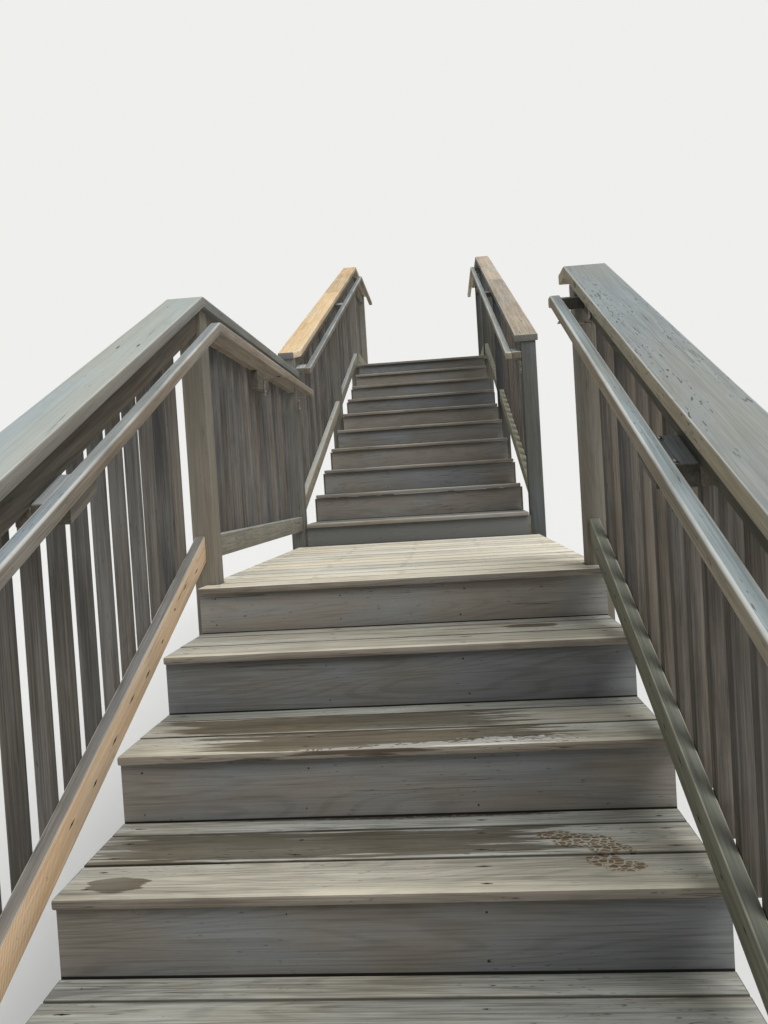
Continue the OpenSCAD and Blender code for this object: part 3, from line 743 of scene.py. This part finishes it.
p0, p1 = POSTS["lower"]
q = POSTS["upper"]
for node, s, flight, low, foot_wood, spans in (
        ("lower_left_rail", -1, "lower", FOOT_LEFT, sunlit_tan_wood, [(p0, p1)]),
        ("lower_right_rail", 1, "lower", FOOT["lower"], olive_wood, [(p0, p1)]),
        ("landing_rail", -1, "lower", FLAT["lower"], upper_foot_wood, [(p1, q[0])]),
        ("upper_left_rail", -1, "upper", FOOT["upper"], upper_foot_wood, [q[0:2], q[1:3]]),
        ("top_left_rail", -1, "upper", FLAT["upper"], upper_foot_wood, [q[2:4]]),
        ("upper_right_rail", 1, "upper", FOOT["upper"], olive_wood, [q[0:2], q[1:3]]),
        ("top_right_rail", 1, "upper", FLAT["upper"], olive_wood, [q[2:4]])):
    parts = []
    for a, b in spans:
        parts += bay(s, flight, low, a + POST_W, b, foot_wood)
    finish(node + "_lumber", parts, node)


# Caps: boards 38 by 140 mm laid flat over the posts and rails and nailed down, mitred where the
# slope meets the level; stained, then weathered grey-green on top, the arrises rubbed pale and
# given a painted highlight.
CAP_W = 0.140
CAP_X = POST_X + POST_W / 2 - CAP_W / 2
CAP_SHIFT = 0.012
SHIFTED_X = CAP_X - CAP_SHIFT
CAP_OVERHANG, CAP_CORNER, CAP_NAILING = 0.010, 0.045, 0.45
MITRE_GAP, BUTT_GAP = 0.0005, 0.001
CAP_SIDE = ("#93918a", "#7d7c76", "#64645f")
# Grey-green film over grey wood, nearly even, with a few specks
left_cap_wood = timber("weathered_pine_left_cap", CAP_SIDE, "#c9cac0", top=("#b1b7b3", "#a2a8a4", "#8e9490"),
                       streaks=0.45, rings=0.2, flecks=0.15)
# The same, its sides browner and made paler by painted light, with crowds of dark specks
right_cap_wood_lit_sides = timber("weathered_pine_right_cap_painted_lit_sides", ("#c0b7a0", "#a79e88", "#888170"), "#cfcfc4",
                        top=("#aaaeab", "#9ca09d", "#878b89"), streaks=0.45, rings=0.3, flecks=1.0)
# Bare tan pine, its top paler and warmer with painted sunlight, and a sawn end painted dark grey
# as painted shade
sunlit_tan_cap_wood = timber("weathered_pine_upper_left_cap_painted_sun_and_shade", ("#d8c8aa", "#bda98c", "#94826b"), "#f2e8d2",
                      top=("#ecd4ae", "#d8bd96", "#ae9370"), streaks=0.8, rings=0.3, flecks=0.8,
                      ends=("#5d6064", 0.9))
# Pale tan-grey, drier and more streaked than the lower caps
bleached_cap_wood = timber("weathered_pine_upper_right_cap", CAP_SIDE, "#d6cfc0",
                           top=("#cbbdaa", "#b2a695", "#8f867a"), streaks=0.9, rings=0.3, flecks=0.8)


def run(name, s, x0, x1, line, y0, y1, wood, ease, segments=2, clip=None, butt=None):
    """A cap or handrail from y0 to y1: a sloping and a level piece, mitred at the bend. butt
    is where two sloping boards meet end to end."""
    if butt:
        return (run(name, s, x0, x1, line, y0, butt - BUTT_GAP, wood, ease, segments, clip)
                + run(name, s, x0, x1, line, butt + BUTT_GAP, y1, wood, ease, segments))
    shape = {"wood": wood, "wander": WANDER, "ease": ease, "segments": segments}
    start, end = stop(line, y0, 0, LUMBER), stop(line, y1, 0, LUMBER)
    a, b = bend(line, 0), bend(line, LUMBER)
    if y1 <= b:
        return [beam(name, s * x0, s * x1, start, end, cuts=10, clip=clip, **shape)]
    mitre = (a, edge(line, a, 0)), (b, edge(line, b, LUMBER))
    before, after = ([(y + gap, z) for y, z in mitre] for gap in (-MITRE_GAP, MITRE_GAP))
    return [beam(name, s * x0, s * x1, start, before, cuts=10, clip=clip, **shape),
            beam(name, s * x0, s * x1, after, end, cuts=3, **shape)]


def cap_nails(s, line, ys, x0, x1):
    """Pairs of nails down through a cap."""
    found = []
    for y in ys:
        slope = Vector((0, 1, PITCH[line[0]] if y < bend(line, 0) else 0)).normalized()
        normal = Vector((1, 0, 0)).cross(slope)
        for f in (0.3, 0.68):
            v = y + RNG.uniform(-0.012, 0.012)
            x = x0 + (x1 - x0) * f + RNG.uniform(-0.006, 0.006)
            found.append(nail(Vector((s * x, v, edge(line, v, 0))) - normal * DEEP_SINK, normal, slope))
    return found


for node, s, flight, x0, w, foot, y1, wood in (
        ("lower_left_cap", -1, "lower", CAP_X, CAP_W, p0, q[0], left_cap_wood),
        ("lower_right_cap", 1, "lower", SHIFTED_X, CAP_W + CAP_SHIFT, p0, p1 + POST_W, right_cap_wood_lit_sides),
        ("upper_left_cap", -1, "upper", SHIFTED_X, CAP_W, q[0], q[3] + POST_W, sunlit_tan_cap_wood),
        ("upper_right_cap", 1, "upper", SHIFTED_X, CAP_W, q[0], q[3] + POST_W, bleached_cap_wood)):
    y0, clip = foot - CAP_OVERHANG, None
    if node == "upper_left_cap":
        # Its lower inner corner is sawn off
        clip = (Vector((s * (x0 + CAP_CORNER), y0, 0)), Vector((1, -1, 0)))
    parts = run(node + "_board", s, x0, x0 + w, CAP[flight], y0, y1, wood, 0.004, clip=clip,
                butt=q[1] + POST_W / 2 if flight == "upper" else None)
    over = [y + POST_W * f for y in POSTS[flight] for f in (0.3, 0.7) if y0 < y < y1 - 0.02]
    over += [y0 + CAP_NAILING * i + RNG.uniform(-0.05, 0.05) for i in range(1, int((y1 - y0) / CAP_NAILING))]
    parts += cap_nails(s, CAP[flight], over, x0, x0 + w)
    finish(node + "_boards", parts, node)
for model in NAILS.values():
    bpy.data.objects.remove(model)


# Handrails: slim 38 mm square rails with well rounded arrises, set in from the posts on blocks.
# Hands and weather have turned their tops pale blue-grey and worn their arrises pale, and a
# painted highlight makes those nearly white.
HAND_GAP, HAND_PASS, HAND_RETURN = 0.059, 0.065, 0.040
HAND_X = POST_X - HAND_GAP - LUMBER
HAND = {"lower": ("lower", 0.942, 0.980), "upper": ("upper", 0.955, 0.980)}
# Blue-grey tops, and arrises worn pale with a painted highlight, over brown-grey sides; the right
# ones are paler
left_hand_wood = timber("weathered_pine_left_handrails", ("#9a9083", "#7e756a", "#625b53"), "#d0d0c8",
                        top=("#9aa1a3", "#82898b", "#696f72"), streaks=0.7, rings=0.2, edge=0.7, flecks=0.4)
right_hand_wood = timber("weathered_pine_right_handrails", ("#b3a78f", "#9b8f79", "#7d7363"), "#e2e2da",
                         top=("#c8cecc", "#b1b8b5", "#8f9795"), streaks=0.7, rings=0.2, edge=0.7, flecks=0.6)
hand_end = bend(HAND["lower"], 0) + HAND_RETURN
for flight, side, s, y0, y1, wood in (("lower", "left", -1, p0, q[0] + HAND_PASS, left_hand_wood),
                                      ("lower", "right", 1, p0, hand_end, right_hand_wood),
                                      ("upper", "left", -1, q[0], q[3] + POST_W, left_hand_wood),
                                      ("upper", "right", 1, q[0], q[3] + POST_W, right_hand_wood)):
    node = f"{flight}_{side}_handrail"
    parts = run(node + "_stick", s, HAND_X, HAND_X + LUMBER, HAND[flight], y0, y1, wood, 0.006, segments=3)
    finish(node + "_lumber", parts, node)


# Blocks: offcuts 38 mm thick that hold the handrails off the posts, flat blocks screwed under
# the handrails of the lower flight, and a block under the landing's rail.
BLOCK, FLAT_BLOCK, LANDING_BLOCK = 0.089, 0.140, 0.240
FLAT_BLOCK_RUN, LANDING_BLOCK_RUN = 1.190, 1.060
CLOSE, BLOCK_TOP = 0.0004, 0.0006
WASHER_T = 0.0014
# Brown-grey sides, and tops washed pale by the rain and painted paler still, painted light where
# the caps shade them
block_wood_painted_lit_tops = timber("stained_pine_blocks", ("#8a8479", "#716c63", "#55514a"), "#a19c90",
                    top=("#c0c4c2", "#acb0ae", "#929694"))
# Depth under the handrail's line at which the rail under the cap ends
rail_under_hand = LUMBER + RAIL_W - (CAP["lower"][1] - HAND["lower"][1]) / plumb("lower", 1)
block_foot = rail_under_hand + LUMBER


def block(name, s, x0, x1, line, y, length, top, foot):
    ends = (stop(line, v, top, foot) for v in (y + CLOSE, y + length - CLOSE))
    return beam(name, s * x0, s * x1, *ends, block_wood_painted_lit_tops, cuts=2, wander=0.0005)


# Zinc-plated steel, bright where it is rubbed and speckled dull where it isn't
zinc, t, shader = surface("zinc_plated_screws", {"Metallic": 0.9})
spots = add(t, NOISE, {"Vector": add(t, COORDINATES, out="Object"), "Scale": 400.0, "Detail": 3.0})
t.links.new(add(t, RAMP, (spots,), stops=((0.0, "#a19f98"), (1.0, "#dcdad4"))), shader["Base Color"])
t.links.new(add(t, MAP, (spots, 0.4, 0.65, 0.5, 0.22)), shader["Roughness"])


def screw(at, normal, radius=0.0055):
    """A round-head screw on its washer: washer, domed head and the socket in it."""
    washer, dome = (1.7 * radius, WASHER_T, 0.0, 0.0004), (radius, 0.9 * radius, WASHER_T, 0.45 * radius)
    parts = []
    for r, tall, low, soft in (washer, dome):
        clear()
        bpy.ops.mesh.primitive_cylinder_add(vertices=16, radius=r, depth=tall,
                                            location=(0, 0, low + tall / 2 - 0.0003))
        bpy.ops.object.transform_apply(location=True, rotation=True, scale=True)
        piece = bpy.context.active_object
        ease_edges(piece, soft, 3)
        piece.data.materials.append(zinc)
        parts.append(piece)
    pick(piece, "FACE", lambda face: face.normal.z > 0.99 and face.center.xy.length < 0.0001)
    bpy.ops.mesh.inset(thickness=0.12 * radius)
    bpy.ops.mesh.extrude_region_move(TRANSFORM_OT_translate={"value": (0, 0, -0.3 * radius)})
    bpy.ops.object.mode_set(mode="OBJECT")
    bpy.ops.object.shade_smooth_by_angle(angle=math.radians(35))
    whole = join("screw", parts)
    whole.data.transform(Matrix.Translation(at) @ Vector(normal).to_track_quat("Z", "Y").to_matrix().to_4x4())
    return whole


for side, s in (("left", -1), ("right", 1)):
    back, face = HAND_X + LUMBER + CLOSE, RAIL_X - CLOSE
    parts = [block("post_block", s, back, POST_X - CLOSE, HAND[flight], y, BLOCK, BLOCK_TOP, LUMBER)
             for flight, y in (("lower", p0), ("upper", q[0]), ("upper", q[1]), ("upper", q[2]))]
    y = landing_y - FLAT_BLOCK_RUN
    for x0, x1, top in ((HAND_X + LUMBER / 2, face, LUMBER), (RAIL_X, RAIL_X + LUMBER, rail_under_hand)):
        parts.append(block("flat_block", s, x0, x1, HAND["lower"], y, FLAT_BLOCK, top + SEAT, block_foot))
    upward = Vector((0, -PITCH["lower"], 1)).normalized()
    for v in (y + 0.010, y + 0.120):
        at = Vector((s * (HAND_X + LUMBER + 0.025), v, edge(HAND["lower"], v, LUMBER + SEAT)))
        parts.append(screw(at, upward))
    if s < 0:
        parts.append(block("under_block", s, RAIL_X, RAIL_X + LUMBER, CAP["lower"],
                           landing_y + LANDING_BLOCK_RUN, LANDING_BLOCK, LUMBER + RAIL_W + SEAT,
                           LUMBER + 2 * RAIL_W))
    else:
        parts.append(block("end_block", s, back, face, HAND["lower"], hand_end - BLOCK, BLOCK, BLOCK_TOP,
                           LUMBER))
    finish(side + "_block_lumber", parts, side + "_blocks")


# Brackets: bent steel strap, 5 by 24 mm, zinc plated and gone dull, with a leg screwed to the
# post or rail, an arm, and a tab under the handrail.
STRAP_T, STRAP_W, STRAP_LEG, STRAP_GAP = 0.005, 0.024, 0.090, 0.0003
STRAP_RUN, LANDING_STRAP_RUN = 0.180, 1.180
# Zinc-plated strap: faint spangle, dull grey, with blooms of brown rust
strap, t, shader = surface("dull_zinc_strap", {"Metallic": 0.7})
spot = add(t, COORDINATES, out="Object")
spangle = add(t, CELLS, {"Vector": spot, "Scale": 220.0})
rust = add(t, NOISE, {"Vector": spot, "Scale": 60.0, "Detail": 4.0})
dulled = add(t, RAMP, (spangle,), stops=((0.0, "#8f8d86"), (1.0, "#a9a69c")))
where = add(t, MAP, (rust, 0.52, 0.64, 0.0, 0.8))
t.links.new(add(t, MIX, {0: where, 6: dulled, 7: linear("#6b4a35")}, **COLOURS), shader["Base Color"])
t.links.new(add(t, MAP, (rust, 0.4, 0.65, 0.42, 0.8)), shader["Roughness"])
t.links.new(add(t, BUMP, {"Height": rust, "Strength": 0.5, "Distance": 0.0003}), shader["Normal"])


def bracket(s, line, y, face, leg_foot):
    """The strap's outline, swept across its width and eased at its bends."""
    low, back = edge(line, y, LUMBER), HAND_X + LUMBER
    lift = 0.0 if y > bend(line, LUMBER) else 0.0012
    drop, leg_top = 2 * STRAP_T, leg_foot + STRAP_LEG
    leg = [(face - STRAP_GAP, leg_foot), (face - STRAP_GAP, leg_top), (face - STRAP_T, leg_top),
           (face - STRAP_T, leg_foot)]
    arm = [(face - SEAT, lift - drop), (back, lift - STRAP_GAP), (HAND_X, lift - STRAP_GAP),
           (HAND_X, lift - STRAP_T), (back, lift - STRAP_T), (face - SEAT, lift - drop - STRAP_T)]
    parts = []
    for outline in (leg, arm):
        clear()
        bpy.ops.mesh.primitive_circle_add(vertices=len(outline), radius=0.1, fill_type="NGON")
        piece = bpy.context.active_object
        for v, (x, z) in zip(piece.data.vertices, outline):
            v.co = Vector((s * x, y, low + z))
        bpy.ops.object.mode_set(mode="EDIT")
        bpy.ops.mesh.select_all(action="SELECT")
        bpy.ops.mesh.extrude_region_move(TRANSFORM_OT_translate={"value": (0, STRAP_W, 0)})
        bpy.ops.mesh.select_all(action="SELECT")
        bpy.ops.mesh.normals_make_consistent(inside=False)
        bpy.ops.object.mode_set(mode="OBJECT")
        ease_edges(piece, 0.0008, 2)
        bpy.ops.object.shade_smooth_by_angle(angle=math.radians(40))
        piece.data.materials.append(strap)
        parts.append(piece)
    for f in (0.25, 0.8):
        at = Vector((s * (face - STRAP_T), y + STRAP_W / 2, low + leg_foot + STRAP_LEG * f))
        parts.append(screw(at, (-s, 0, 0), 0.0045))
    return parts


hung, stood = -STRAP_LEG - STRAP_T, -4 * STRAP_T
at_post = q[0] + STRAP_W
for side, s, pair in (("left", -1, ((HAND["lower"], landing_y + LANDING_STRAP_RUN, RAIL_X, hung),
                                    (HAND["lower"], at_post, POST_X, hung))),
                      ("right", 1, ((HAND["lower"], bend(HAND["lower"], 0) - STRAP_RUN, RAIL_X, stood),
                                    (HAND["upper"], at_post, POST_X, hung)))):
    parts = [part for place in pair for part in bracket(s, *place)]
    finish(side + "_straps", parts, side + "_brackets")


# Floor, light and camera: a plain pale floor and a soft high light; the camera stands over the
# lower flight and looks up the stair.
clear()
bpy.ops.mesh.primitive_plane_add(size=120, location=(0, 0, 0))
floor = bpy.context.active_object
floor.name = "floor"
# Matt pale paint
pale, _, _ = surface("pale_floor", {"Base Color": linear("#ecebe8"), "Roughness": 0.9})
floor.data.materials.append(pale)

world = bpy.data.worlds.new("pale_room")
bpy.context.scene.world = world
world.use_nodes = True
w = world.node_tree
back = w.nodes["Background"]
back.inputs["Color"].default_value = linear("#e9ecee")
back.inputs["Strength"].default_value = 0.62
# The camera, glossy surfaces and clear ones see the room paler than it lights the stair
seen = add(w, "ShaderNodeBackground", {"Color": linear("#efefed"), "Strength": 1.0})
ray = add(w, "ShaderNodeLightPath", out="Is Camera Ray")
shown = add(w, MATH, (ray, ray.node.outputs["Is Glossy Ray"]), **MOST)
shown = add(w, MATH, (shown, ray.node.outputs["Is Transmission Ray"]), **MOST)
room = add(w, "ShaderNodeMixShader", (shown, back.outputs[0], seen))
w.links.new(room, w.nodes["World Output"].inputs["Surface"])

bpy.ops.object.light_add(type="SUN", location=(-3, -2, 8))
sun = bpy.context.active_object
sun.data.energy = 2.0
sun.data.angle = math.radians(40)
sun.rotation_euler = (math.radians(28), math.radians(26), 0)

# The camera's place from the middle of the landing's nosing, its turn, and its focal length in
# pixels of a picture 1024 high
CAMERA = Vector((0.1937, -2.8427, 0.3175))
YAW, TILT, ROLL = math.radians(4.6056), math.radians(-1.5046), math.radians(-3.5202)
FOCAL_PX, PICTURE_PX = 788.77, 1024
nose = Vector((0, landing_y, HEAD["lower"][1]))
fwd = Vector((-math.sin(YAW) * math.cos(TILT), math.cos(YAW) * math.cos(TILT), math.sin(TILT)))
right = Vector((math.cos(YAW), math.sin(YAW), 0))
up = right.cross(fwd)
right, up = right * math.cos(ROLL) + up * math.sin(ROLL), up * math.cos(ROLL) - right * math.sin(ROLL)
bpy.ops.object.camera_add()
camera = bpy.context.active_object
camera.matrix_world = Matrix.Translation(CAMERA + nose) @ Matrix((right, up, -fwd)).transposed().to_4x4()
camera.data.sensor_width = 36
camera.data.lens = FOCAL_PX * camera.data.sensor_width / PICTURE_PX
bpy.context.scene.camera = camera
bpy.context.scene.view_settings.view_transform = "Standard"
